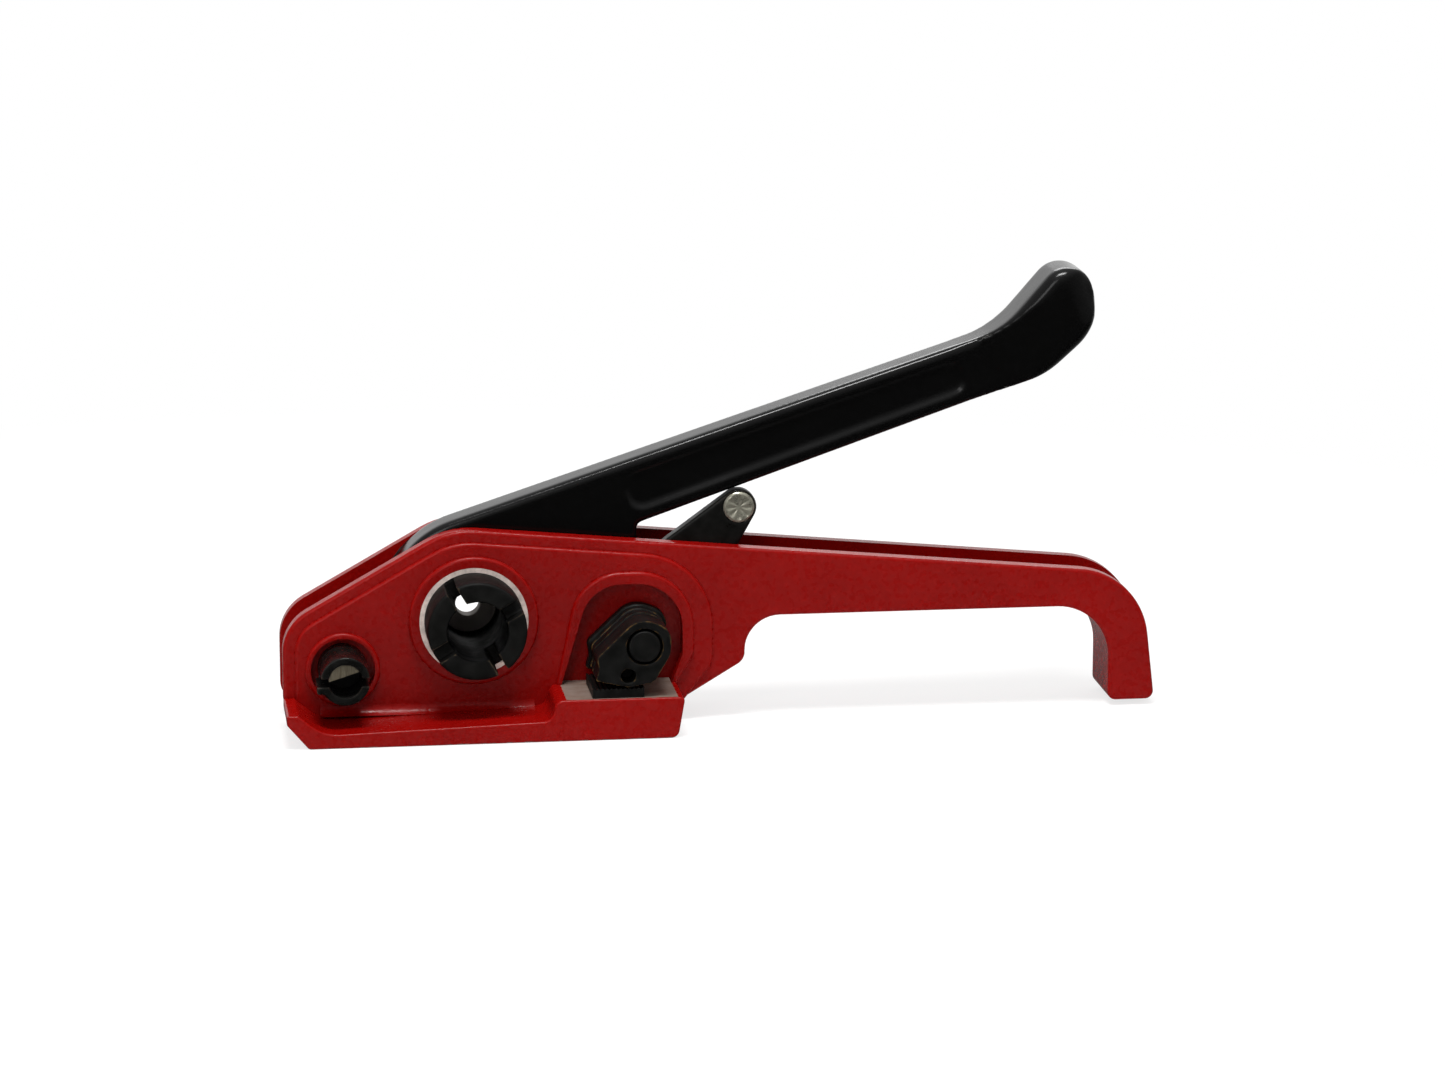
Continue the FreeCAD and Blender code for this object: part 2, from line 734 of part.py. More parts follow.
def knob_plan():
    """Prism of the knob seen from above, widening towards its round end."""
    narrow = handle_width / 2 - 1
    wide = knob_width / 2
    start = knob_flare_start
    widest = knob_end - knob_bulge
    third = (widest - start) / 3
    side = [V(start, -narrow, 0), V(start + third, -narrow - (wide - narrow) * 0.3, 0),
            V(widest - third, -wide + (wide - narrow) * 0.2, 0), V(widest, -wide, 0)]
    mirrored = [V(p.x, -p.y, 0) for p in reversed(side)]
    near = Part.BSplineCurve()
    near.interpolate(side)
    far = Part.BSplineCurve()
    far.interpolate(mirrored)
    end = Part.Arc(side[-1], V(knob_end + shim_thickness, 0, 0), mirrored[0])
    back = Part.LineSegment(mirrored[-1], side[0])
    plan = Part.Face(Part.Wire([near.toShape(), end.toShape(), far.toShape(), back.toShape()]))
    plan.translate(V(0, 0, -hub_radius))
    solid = plan.extrude(V(0, 0, 4 * hub_radius))
    solid.rotate(V(0, 0, 0), V(0, -1, 0), handle_angle)
    solid.translate(V(0, 0, drum_height))
    return solid


def handle_pocket():
    """Room between the fork cheeks for the ratchet wheel and the drive pawl."""
    ahead = -hub_radius - overrun
    under = -hub_radius - overrun
    mouth = slab(handle_corners([
        (ahead, pocket_step, 0),
        (ahead, under, 0),
        (pocket_rear, under, 0),
        (pocket_rear, pocket_step, knob_round),
        (pocket_rear - pocket_slope, pocket_top, knob_round),
        (pocket_front + pocket_slope, pocket_top, knob_round),
        (pocket_front, pocket_step, 0),
    ]), -cheek_inner, cheek_inner)
    return mouth.fuse(disc(drum_axis, ratchet_tip_radius + 0.8, -cheek_inner, cheek_inner))


def side_panel(y_from, y_to):
    low = shank_low + panel_margin
    return slab(handle_corners([
        (fork_end, low, panel_radius),
        (fork_end, shank_top(fork_end) - panel_margin, panel_radius),
        (knob_flare_start, shank_top(knob_flare_start) - panel_margin, panel_radius),
        (knob_flare_start, low, panel_radius),
    ]), y_from, y_to)


def drive_axis():
    return handle_point(drive_pawl_u, drive_pawl_w)


def handle_lever():
    half = handle_width / 2
    wide = knob_width / 2
    shank = slab(shank_outline(), -half, half)
    knob = slab(knob_outline(), -wide, wide)
    for side in (-1, 1):
        shank = round_face_edges(shank, side * half, handle_round)
        knob = round_face_edges(knob, side * wide, knob_round)
    body = shank.fuse(knob.common(knob_plan()))
    cuts = [
        handle_pocket(),
        disc(drum_axis, spindle_radius + running_fit, -half - 1, half + 1),
        side_panel(-half - 1, -half + panel_depth),
        side_panel(half - panel_depth, half + 1),
        disc(drive_axis(), pawl_pin_radius, -half - 1, half + 1),
        pawl_spring_hole(),
    ]
    return body.cut(cuts)


def hub_shims():
    near_y = -half_gap + shim_play
    far_y = half_gap - shim_play
    near = ring(drum_axis, hub_radius - shim_oversize, spindle_radius + running_fit,
                near_y, near_y + shim_thickness)
    far = ring(drum_axis, hub_radius + shim_oversize, spindle_radius + running_fit,
               far_y - shim_thickness, far_y)
    return Part.makeCompound([near, far])


def drive_pawl_pin():
    half = handle_width / 2
    return disc(drive_axis(), pawl_pin_radius, -half + circlip_play, half - circlip_play)


def pawl_solid(pivot, tip, tail, lift):
    """Pawl drawn engaged between its eye and a blunt tip, then lifted clear of the teeth."""
    half = ratchet_width / 2 - pawl_side_play
    arm = belt(pivot, pawl_eye_radius, tip, pawl_tip_radius, -half, half)
    spur = belt(pivot, pawl_back, tail, pawl_tail_radius, -half, half)
    pawl = arm.fuse(spur).cut(disc(pivot, pawl_pin_radius + running_fit, -half, half))
    return turned(pawl, pivot, -lift)


def pawl_tip(angle):
    """Engaged place of a tip against the steep face of a tooth."""
    return polar(drum_axis, ratchet_root_radius + tip_depth, angle)


def drive_pawl():
    tip = pawl_tip(drive_tip_angle + handle_angle - tip_lag)
    tail = handle_point(drive_pawl_u + pawl_back, drive_pawl_w + pawl_back)
    return pawl_solid(drive_axis(), tip, tail, drive_lift)


def pawl_spring_top():
    return handle_point(drive_pawl_u - pawl_spring_back, hub_radius - pawl_spring_cover)


def pawl_spring_hole():
    """Blind hole over the drive pawl for its spring."""
    x, z = pawl_spring_top()
    down = handle_point(0, -1)
    direction = V(down[0], 0, down[1] - drum_height)
    return Part.makeCylinder(pawl_spring_hole_radius, pawl_spring_hole_depth, V(x, 0, z), direction)


def drive_pawl_spring():
    """Compression spring that presses the drive pawl on the wheel."""
    x, z = pawl_spring_top()
    mean = pawl_spring_radius
    wire = pawl_spring_wire
    pitch = (pawl_spring_length - wire) / pawl_spring_turns
    helix = Part.makeHelix(pitch, pitch * pawl_spring_turns, mean)
    section = Part.Wire(Part.makeCircle(wire / 2, V(mean, 0, 0), V(0, 1, 0)))
    spring = Part.Wire(helix).makePipeShell([section], True, True)
    spring.translate(V(0, 0, wire / 2))
    spring.rotate(V(0, 0, 0), V(0, 1, 0), 180 - handle_angle)
    spring.translate(V(x, 0, z))
    return spring


def hold_tip_degrees():
    pitch = 360 / ratchet_teeth
    first = drive_tip_angle + handle_angle
    steps = round((hold_tip_angle - first) / pitch)
    return first + steps * pitch - tip_lag


def holding_pawl():
    tail = (hold_axis[0] + pawl_back, hold_axis[1] + pawl_back)
    return pawl_solid(hold_axis, pawl_tip(hold_tip_degrees()), tail, hold_lift)


def holding_pawl_pin():
    return disc(hold_axis, pawl_pin_radius, -half_gap - hold_pin_seat, rim_y)


def holding_pawl_spring():
    mean = pawl_pin_radius + 0.3 + spring_wire / 2
    return coil(hold_axis, mean, 2, ratchet_width / 2 + 0.2, half_gap - working_gap)


# ---- gripper --------------------------------------------------------------
def cam_outline(shrink):
    """Cam seen from the front: round eye, straight back and curved sole."""
    eye = cam_eye_radius - shrink
    return [
        (gripper_x - 2, gripper_height + eye + 0.6, eye - 1.5),
        (cam_toe_x + shrink, cam_toe_height - shrink * 0.4, cam_toe_radius),
        (cam_toe_x + 0.9 + shrink, (cam_toe_height + cam_chin_height) / 2, 2),
        (cam_toe_x - 0.4 + shrink, cam_chin_height + shrink, 0.8),
        (cam_toe_x + cam_sole_run, cam_sole_height - 0.5 + shrink, 9),
        (gripper_x + cam_heel_run, cam_sole_height + 1.2 + shrink, 3),
        (gripper_x + eye - 1, gripper_height - 3.2, 6),
        (gripper_x + eye - 0.2, gripper_height + eye * 0.6, 7),
    ]


def gripper_cam():
    """Stack of cam layers with grooves between them and a larger flange at the rear."""
    front = -rim_y - cam_reach
    rear = -boss_y + recess_depth - working_gap
    flange_front = plug_rear_y + working_gap
    third_layer = flange_front + 1 - front - cam_plate - cam_layer - 2 * cam_groove
    cam = slab(cam_outline(cam_groove_depth), front + 1, rear)
    y = front
    for thickness in (cam_plate, cam_layer, third_layer):
        cam = cam.fuse(slab(cam_outline(0), y, y + thickness))
        y += thickness + cam_groove
    cam = cam.fuse(slab(cam_outline(-cam_flange), flange_front, rear))
    cuts = [
        disc(gripper_axis, gripper_shaft_radius, front - 1, 0),
        disc(gripper_axis, gripper_shaft_radius + cam_ring_gap, front - 1, front + cam_ring_depth),
        disc(cam_hole, cam_hole_radius, front - 1, front + cam_hole_depth),
        cam_pin_solid(),
    ]
    return cam.cut(cuts)


def cam_pin_solid():
    """Roll pin through the eye of the cam and the shaft."""
    y = -rim_y - cam_reach + cam_plate + cam_groove + cam_layer / 2
    reach = cam_eye_radius - cam_groove_depth
    return Part.makeCylinder(roll_pin_radius, 2 * reach, V(gripper_x, y, gripper_height - reach), V(0, 0, 1))


def gripper_shaft():
    front = -rim_y - cam_reach - 0.2
    shaft = disc(gripper_axis, gripper_shaft_radius, front, far_end_y)
    shaft = round_face_edges(shaft, front, 0.5)
    cuts = [
        cam_pin_solid(),
        lever_pin_solid(),
        circlip_groove(gripper_axis, gripper_shaft_radius, rim_y + circlip_play),
    ]
    return shaft.cut(cuts)


def lever_pin_solid():
    """Roll pin through the hub of the release lever and the shaft."""
    reach = lever_hub_radius - 0.5
    start = V(gripper_x - reach, lever_pin_y, gripper_height)
    return Part.makeCylinder(roll_pin_radius, 2 * reach, start, V(1, 0, 0))


def lever_axis():
    """Cross pin's axis, with the lever's eye just under the handle's lower edge."""
    angle = math.radians(handle_angle)
    along = (lever_pin_x + shank_low * math.sin(angle)) / math.cos(angle)
    edge_z = handle_point(along, shank_low)[1]
    return (lever_pin_x, edge_z - (lever_eye_radius + lever_gap) / math.cos(angle))


def release_lever():
    """Broad flat lever between the plates, tapering to the eye of its cross pin."""
    front = -half_gap + lever_play
    back = front + lever_width
    shoulder = (lever_shoulder_x, lever_shoulder_height)
    arm = belt(gripper_axis, lever_hub_radius, shoulder, lever_shoulder_radius, front, back)
    arm = arm.fuse(belt(shoulder, lever_shoulder_radius, lever_axis(), lever_eye_radius, front, back))
    arm = round_face_edges(arm.removeSplitter(), front, lever_round)
    arm = arm.fuse(disc(gripper_axis, lever_hub_radius - 1, back - 1, lever_hub_rear))
    cuts = [
        disc(gripper_axis, gripper_shaft_radius, front - 1, half_gap),
        disc(lever_axis(), cross_pin_radius, front - 1, back + 1),
        lever_pin_solid(),
    ]
    return arm.cut(cuts)


def release_cross_pin():
    front = -half_gap + working_gap
    back = front + cross_pin_length
    pin = disc(lever_axis(), cross_pin_radius, front, back)
    pin = round_face_edges(pin, front, cross_pin_round)
    return round_face_edges(pin, back, cross_pin_round)


def spring_anchor_pin():
    """Fixed pin through the far plate that anchors the gripper spring."""
    axis = (gripper_x + anchor_back, gripper_height - anchor_drop)
    return disc(axis, anchor_radius, anchor_start_y, rim_y)


def gripper_spring():
    mean = gripper_shaft_radius + 0.5 + spring_wire / 2
    return coil(gripper_axis, mean, 3, lever_hub_rear + spring_play, half_gap - spring_play)


def gripper_circlip():
    return circlip(gripper_axis, gripper_shaft_radius, rim_y + circlip_play)


# ---- cutter ---------------------------------------------------------------
def cutter_sleeve():
    """Fixed shear sleeve with a strap slot across its open end."""
    front = -rim_y - cutter_reach
    sleeve = round_face_edges(disc(cutter_axis, sleeve_radius, front, -half_gap), front, 0.5)
    sleeve = sleeve.fuse(disc(cutter_axis, sleeve_radius + sleeve_flange, -half_gap, -half_gap + 1.6))
    slot_top = cutter_height - cut_slot_drop + cut_slot_height / 2
    slot_bottom = slot_top - cut_slot_height
    lip = block(cutter_x - sleeve_radius - sleeve_lip_reach, cutter_x - sleeve_bore_radius,
                front + circlip_play, -boss_y - cut_slot_margin, slot_bottom - sleeve_lip_height, slot_bottom)
    sleeve = sleeve.fuse(lip)
    slot = block(cutter_x - sleeve_radius - overrun, cutter_x + sleeve_radius + overrun, front - 1,
                 -boss_y - cut_slot_margin, slot_bottom, slot_top)
    cuts = [disc(cutter_axis, sleeve_bore_radius, front - 1, 0), slot, sleeve_screw()]
    return sleeve.cut(cuts)


def sleeve_screw(start=nose_x + 0.6):
    """Set screw from the nose edge of the near plate to the sleeve."""
    y = -half_gap - cutter_recess_floor / 2
    end = cutter_x - sleeve_radius + 0.8
    return Part.makeCylinder(set_screw_radius, end - start, V(start, y, cutter_height), V(1, 0, 0))


def cutter_shaft():
    front = -rim_y - cutter_reach + 0.5
    shaft = disc(cutter_axis, sleeve_bore_radius - running_fit, front, far_end_y)
    reach = sleeve_radius
    notch = block(cutter_x - reach, cutter_x + reach, front - 1, -boss_y - cut_slot_margin,
                  cutter_height - reach, cutter_height + blade_chord)
    cuts = [
        turned(notch, cutter_axis, blade_tilt),
        crank_pin(),
        circlip_groove(cutter_axis, sleeve_bore_radius - running_fit, rim_y + circlip_play),
    ]
    return shaft.cut(cuts)


def crank_pin():
    reach = sleeve_bore_radius + 2.5
    y = crank_start_y + crank_width / 2
    return Part.makeCylinder(roll_pin_radius, 2 * reach, V(cutter_x - reach, y, cutter_height), V(1, 0, 0))


def cutter_crank():
    """Arm between the plates that the handle pushes at the end of its swing."""
    y_from = crank_start_y
    y_to = y_from + crank_width
    tip = polar(cutter_axis, crank_reach - crank_tip_radius, crank_angle)
    crank = belt(cutter_axis, sleeve_bore_radius + crank_wall, tip, crank_tip_radius, y_from, y_to)
    cuts = [disc(cutter_axis, sleeve_bore_radius - running_fit, 0, y_to + 1), crank_pin()]
    return crank.cut(cuts)


def cutter_spring():
    mean = sleeve_bore_radius + 0.5 + spring_wire / 2
    return coil(cutter_axis, mean, 4, -half_gap + sleeve_flange, crank_start_y - spring_play)


def cutter_circlip():
    return circlip(cutter_axis, sleeve_bore_radius - running_fit, rim_y + circlip_play)


pieces = [
    body_casting, anvil_plate, anvil_screws, gripper_plug, plug_screw,
    drum_bush_near, drum_bush_far, cutter_sleeve, sleeve_screw, holding_pawl_pin, spring_anchor_pin,
    windlass_drum, ratchet_wheel, drum_washer, drum_circlip,
    handle_lever, hub_shims, drive_pawl_pin, drive_pawl_spring, drive_pawl,
    holding_pawl, holding_pawl_spring,
    gripper_cam, gripper_shaft, release_lever, release_cross_pin, gripper_spring, gripper_circlip,
    cutter_shaft, cutter_crank, crank_pin, cutter_spring, cutter_circlip,
]

os.makedirs("parts", exist_ok=True)
for piece in pieces:
    save(piece.__name__, piece())
save("drum_key", drum_key_solid())
save("cam_roll_pin", cam_pin_solid())
save("lever_roll_pin", lever_pin_solid())
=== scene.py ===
"""Dresses a manual windlass tensioner for flat strapping: paints, steels, turned and cast detail.

Run as a script. Metres, +X towards the rear grip, -Y towards the working side, +Z up.
"""

import json
import math

import bmesh
import bpy
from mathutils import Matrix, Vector

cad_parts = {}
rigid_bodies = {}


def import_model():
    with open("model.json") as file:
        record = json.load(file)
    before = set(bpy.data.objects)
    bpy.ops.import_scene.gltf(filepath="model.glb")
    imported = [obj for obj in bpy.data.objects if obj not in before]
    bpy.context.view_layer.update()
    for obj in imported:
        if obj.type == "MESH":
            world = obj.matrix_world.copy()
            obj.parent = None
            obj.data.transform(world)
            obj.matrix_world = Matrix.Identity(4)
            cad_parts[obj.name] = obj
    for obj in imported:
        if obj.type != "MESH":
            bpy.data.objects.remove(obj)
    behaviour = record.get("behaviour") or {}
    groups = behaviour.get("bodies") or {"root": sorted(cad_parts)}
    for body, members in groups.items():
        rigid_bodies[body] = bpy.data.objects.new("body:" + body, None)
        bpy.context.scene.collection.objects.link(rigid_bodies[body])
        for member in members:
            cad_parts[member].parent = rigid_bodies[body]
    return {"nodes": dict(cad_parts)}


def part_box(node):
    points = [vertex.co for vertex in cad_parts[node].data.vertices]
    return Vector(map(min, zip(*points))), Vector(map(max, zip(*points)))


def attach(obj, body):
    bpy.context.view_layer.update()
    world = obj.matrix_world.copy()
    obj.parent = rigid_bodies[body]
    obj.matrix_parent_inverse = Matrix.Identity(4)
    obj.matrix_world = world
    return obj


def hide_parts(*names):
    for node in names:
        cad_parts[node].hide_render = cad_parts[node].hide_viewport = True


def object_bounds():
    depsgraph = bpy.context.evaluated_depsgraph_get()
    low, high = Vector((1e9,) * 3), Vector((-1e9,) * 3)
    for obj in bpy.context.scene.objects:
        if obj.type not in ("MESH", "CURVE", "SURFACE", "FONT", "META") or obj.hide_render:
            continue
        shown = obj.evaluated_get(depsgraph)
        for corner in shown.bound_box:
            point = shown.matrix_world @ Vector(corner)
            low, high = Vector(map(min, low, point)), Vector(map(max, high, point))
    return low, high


bl_info = {
    "name": "Strapping tensioner",
    "version": (1, 0, 0),
    "blender": (4, 5, 0),
    "location": "3D View > Sidebar > Tensioner",
    "description": "Builds the finished pieces and surfaces of a hand strapping tensioner",
    "category": "Object",
}

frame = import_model()
NODES = frame["nodes"]
CAD_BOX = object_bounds()
MM = 0.001
coated = set()


# ---- colours and nodes ------------------------------------------------------
def linear(hex_colour):
    """Linear RGBA of an sRGB hex colour such as 8c140e."""
    out = []
    for start in (0, 2, 4):
        value = int(hex_colour[start:start + 2], 16) / 255
        out.append(value / 12.92 if value <= 0.04045 else ((value + 0.055) / 1.055) ** 2.4)
    return (*out, 1.0)


def shaded(colour, factor, lift=0.0):
    """A linear colour made darker or lighter, with a little grey lifted into it."""
    return (*(min(part * factor + lift, 1.0) for part in colour[:3]), 1.0)


def per_mm(size_mm):
    """Texture scale that makes a pattern's features about size_mm across."""
    return 1 / (size_mm * MM)


def add(tree, kind, inputs=None, **options):
    """One shader node with its options; inputs maps a socket to a value, a node or one of its outputs."""
    node = tree.nodes.new(kind)
    for key, value in options.items():
        setattr(node, key, value)
    for key, value in (inputs or {}).items():
        if isinstance(value, bpy.types.Node):
            value = value.outputs[0]
        if isinstance(value, bpy.types.NodeSocket):
            tree.links.new(value, node.inputs[key])
        else:
            node.inputs[key].default_value = value
    return node


def new_finish(name):
    """Empty material; returns it, its node tree and the object coordinates that its patterns follow."""
    material = bpy.data.materials.new(name)
    material.use_nodes = True
    tree = material.node_tree
    tree.nodes.clear()
    return material, tree, add(tree, "ShaderNodeTexCoord").outputs["Object"]


def passing(tree, pattern, low, high, first, second, most=1.0):
    """Colour that passes from first towards second while a pattern rises from low to high."""
    amount = add(tree, "ShaderNodeMapRange", {
        "Value": pattern, "From Min": low, "From Max": high, "To Max": most})
    return add(tree, "ShaderNodeMix", {0: amount, 6: first, 7: second}, data_type="RGBA").outputs[2]


def relief(tree, *layers):
    """Normal of a surface with bumps in layers, lowest first: each a pattern, its depth in mm, its strength."""
    normal = None
    for pattern, depth_mm, strength in layers:
        inputs = {"Height": pattern, "Distance": depth_mm * MM, "Strength": strength}
        if normal:
            inputs["Normal"] = normal
        normal = add(tree, "ShaderNodeBump", inputs)
    return normal


def worn_edges(tree, place, patch_mm):
    """The piece's stored edge wear, broken up by patches, from about -0.3 on flats to 1.3 on sharp edges."""
    worn = add(tree, "ShaderNodeAttribute", attribute_name="edge_wear").outputs["Fac"]
    patches = add(tree, "ShaderNodeTexNoise", {
        "Vector": place, "Scale": per_mm(patch_mm), "Detail": 4.0, "Roughness": 0.65})
    broken = add(tree, "ShaderNodeMapRange", {
        "Value": patches, "From Min": 0.3, "From Max": 0.7, "To Min": -0.3, "To Max": 0.3})
    return add(tree, "ShaderNodeMath", {0: worn, 1: broken}, operation="ADD")


# ---- finishes ---------------------------------------------------------------
def red_powder_coat(colour, chip_colour, chip_height_mm=1.3):
    """Polyester powder coat on a sand casting, chipped along the foot."""
    # Orange peel breaks up the highlights and the cast grain under it adds a fine bump; the lighter pink specks
    # in the colour are painted highlights of the peel.
    material, tree, place = new_finish("red_powder_coat")
    base = linear(colour)
    painted_highlight_speck = (min(base[0] * 1.3, 1.0), base[1] * 2 + 0.002, base[2] * 2 + 0.002, 1.0)
    cloud = add(tree, "ShaderNodeTexNoise", {
        "Vector": place, "Scale": per_mm(34), "Detail": 2.0, "Roughness": 0.5})
    speck = add(tree, "ShaderNodeTexNoise", {
        "Vector": place, "Scale": per_mm(1.1), "Detail": 3.0, "Roughness": 0.65})
    peel = add(tree, "ShaderNodeTexNoise", {
        "Vector": place, "Scale": per_mm(2.2), "Detail": 1.0, "Roughness": 0.4})
    grain = add(tree, "ShaderNodeTexNoise", {
        "Vector": place, "Scale": per_mm(0.9), "Detail": 2.0, "Roughness": 0.55})
    tint = passing(tree, cloud, 0.35, 0.65, shaded(base, 0.86), base)
    # Painted highlight: specks lighter and pinker than the coat stand in for glints off the orange peel.
    tint = passing(tree, speck, 0.52, 0.75, tint, painted_highlight_speck, most=0.5)

    height = add(tree, "ShaderNodeSeparateXYZ", {"Vector": place}).outputs["Z"]
    above_floor = add(tree, "ShaderNodeMapRange", {
        "Value": height, "From Min": 0.4 * MM, "From Max": chip_height_mm * MM, "To Max": -1.0})
    flakes = add(tree, "ShaderNodeTexNoise", {
        "Vector": place, "Scale": per_mm(4.0), "Detail": 3.0, "Roughness": 0.6})
    chips = add(tree, "ShaderNodeMath", {0: flakes, 1: above_floor}, operation="ADD")
    shader = add(tree, "ShaderNodeBsdfPrincipled", {
        "Base Color": passing(tree, chips, 0.55, 0.58, tint, linear(chip_colour)),
        "Roughness": add(tree, "ShaderNodeMapRange", {
            "Value": peel, "From Min": 0.3, "From Max": 0.7, "To Min": 0.24, "To Max": 0.36}),
        "Normal": relief(tree, (grain, 0.06, 0.8), (peel, 0.16, 0.9)),
        "Specular IOR Level": 0.13})
    add(tree, "ShaderNodeOutputMaterial", {"Surface": shader})
    return material


def black_enamel(colour, primer_colour):
    """Dipped black enamel on a forged handle, thin at the edges."""
    # Glossy and deep black, with slow runs in the film that bend the highlights.
    material, tree, place = new_finish("black_enamel")
    runs = add(tree, "ShaderNodeTexNoise", {
        "Vector": place, "Scale": per_mm(16), "Detail": 2.0, "Roughness": 0.5})
    ripple = add(tree, "ShaderNodeTexNoise", {
        "Vector": place, "Scale": per_mm(1.6), "Detail": 2.0, "Roughness": 0.5})
    thin = worn_edges(tree, place, patch_mm=2.2)
    shader = add(tree, "ShaderNodeBsdfPrincipled", {
        "Base Color": passing(tree, thin, 0.80, 0.98, linear(colour), linear(primer_colour)),
        "Roughness": add(tree, "ShaderNodeMapRange", {
            "Value": runs, "From Min": 0.3, "From Max": 0.7, "To Min": 0.13, "To Max": 0.22}),
        "Normal": relief(tree, (runs, 0.20, 0.6), (ripple, 0.025, 0.7)),
        "Specular IOR Level": 0.20})
    add(tree, "ShaderNodeOutputMaterial", {"Surface": shader})
    return material


def blackened_steel(name, colour, wear, worn_low, gloss, bore=None, level=0.12):
    """Hot-blacked hardened steel, rubbed to brown along its edges, with painted shade and light in its bore if
    one is given.
    """
    # Oiled and blotchy: dark grey clouds on black, a dull sheen, brown lines where handling rubs.
    material, tree, place = new_finish(name)
    base = linear(colour)
    blotch = add(tree, "ShaderNodeTexNoise", {
        "Vector": place, "Scale": per_mm(4.5), "Detail": 4.0, "Roughness": 0.6})
    fine = add(tree, "ShaderNodeTexNoise", {
        "Vector": place, "Scale": per_mm(0.7), "Detail": 3.0, "Roughness": 0.6})
    tint = passing(tree, blotch, 0.35, 0.68, base, shaded(base, 1.8, 0.001))
    rubbed = worn_edges(tree, place, patch_mm=3.0)
    tint = passing(tree, rubbed, worn_low, worn_low + 0.4, tint, linear(wear))
    if bore:
        tint = painted_bore_shade_and_light(tree, place, tint, **bore)
    shader = add(tree, "ShaderNodeBsdfPrincipled", {
        "Base Color": tint,
        "Roughness": add(tree, "ShaderNodeMapRange", {
            "Value": blotch, "From Min": 0.3, "From Max": 0.7, "To Min": gloss - 0.08, "To Max": gloss + 0.12}),
        "Normal": relief(tree, (blotch, 0.03, 0.6), (fine, 0.02, 0.8)),
        "Metallic": 0.1,
        "Specular IOR Level": level})
    add(tree, "ShaderNodeOutputMaterial", {"Surface": shader})
    return material


def painted_bore_shade_and_light(tree, place, outside, axis_z, radius, floor_y, painted_lit_floor_colour):
    """Colour of a bore along Y: near black walls as painted shade, and a lighter grey on its machined end floor
    as painted light.
    """
    across = add(tree, "ShaderNodeMapping", {
        "Vector": place, "Scale": (1, 0, 1), "Location": (0, 0, -axis_z)})
    distance = add(tree, "ShaderNodeVectorMath", {0: across}, operation="LENGTH").outputs["Value"]
    depth = add(tree, "ShaderNodeSeparateXYZ", {"Vector": place}).outputs["Y"]
    # Painted shade on the bore's walls; painted light on its end floor.
    inside = passing(tree, depth, floor_y - 0.4 * MM, floor_y, linear("030303"), linear(painted_lit_floor_colour))
    return passing(tree, distance, radius + 0.3 * MM, radius + 0.6 * MM, inside, outside)


def lapped_blade_steel(bright, dark, face_y):
    """Black shaft whose end face, in front of face_y, is lapped bright."""
    # Fine straight scratches across the face, turned 18 degrees, catch the light in lines.
    material, tree, place = new_finish("lapped_blade_steel")
    depth = add(tree, "ShaderNodeSeparateXYZ", {"Vector": place}).outputs["Y"]
    behind = add(tree, "ShaderNodeMapRange", {
        "Value": depth, "From Min": face_y, "From Max": face_y + 0.2 * MM})
    along = add(tree, "ShaderNodeMapping", {
        "Vector": place, "Scale": (1.0, 1.0, 0.08), "Rotation": (0, math.radians(18), 0)})
    scratch = add(tree, "ShaderNodeTexNoise", {
        "Vector": along, "Scale": per_mm(0.35), "Detail": 3.0, "Roughness": 0.6})
    base = linear(bright)
    face = passing(tree, scratch, 0.32, 0.62, shaded(base, 0.5), base)
    shader = add(tree, "ShaderNodeBsdfPrincipled", {
        "Base Color": passing(tree, behind, 0, 1, face, linear(dark)),
        "Roughness": add(tree, "ShaderNodeMapRange", {"Value": behind, "To Min": 0.34, "To Max": 0.45}),
        "Normal": relief(tree, (scratch, 0.02, 0.7)),
        "Metallic": 0.5})
    add(tree, "ShaderNodeOutputMaterial", {"Surface": shader})
    return material


def ground_steel(colour):
    """Surface-ground tool steel with its lay along X."""
    # Fine parallel scratches give a silky grey, with a brown haze where it was handled.
    material, tree, place = new_finish("ground_steel")
    base = linear(colour)
    hazed = (base[0] * 0.62, base[1] * 0.55, base[2] * 0.5, 1.0)
    along = add(tree, "ShaderNodeMapping", {"Vector": place, "Scale": (0.06, 1.0, 1.0)})
    scratch = add(tree, "ShaderNodeTexNoise", {
        "Vector": along, "Scale": per_mm(0.5), "Detail": 3.0, "Roughness": 0.6})
    haze = add(tree, "ShaderNodeTexNoise", {
        "Vector": place, "Scale": per_mm(7), "Detail": 3.0, "Roughness": 0.6})
    tint = passing(tree, haze, 0.3, 0.62, hazed, base)
    shader = add(tree, "ShaderNodeBsdfPrincipled", {
        "Base Color": passing(tree, scratch, 0.3, 0.7, tint, hazed, most=0.4),
        "Roughness": add(tree, "ShaderNodeMapRange", {
            "Value": scratch, "From Min": 0.3, "From Max": 0.7, "To Min": 0.42, "To Max": 0.6}),
        "Normal": relief(tree, (scratch, 0.02, 0.7)),
        "Metallic": 0.55})
    add(tree, "ShaderNodeOutputMaterial", {"Surface": shader})
    return material


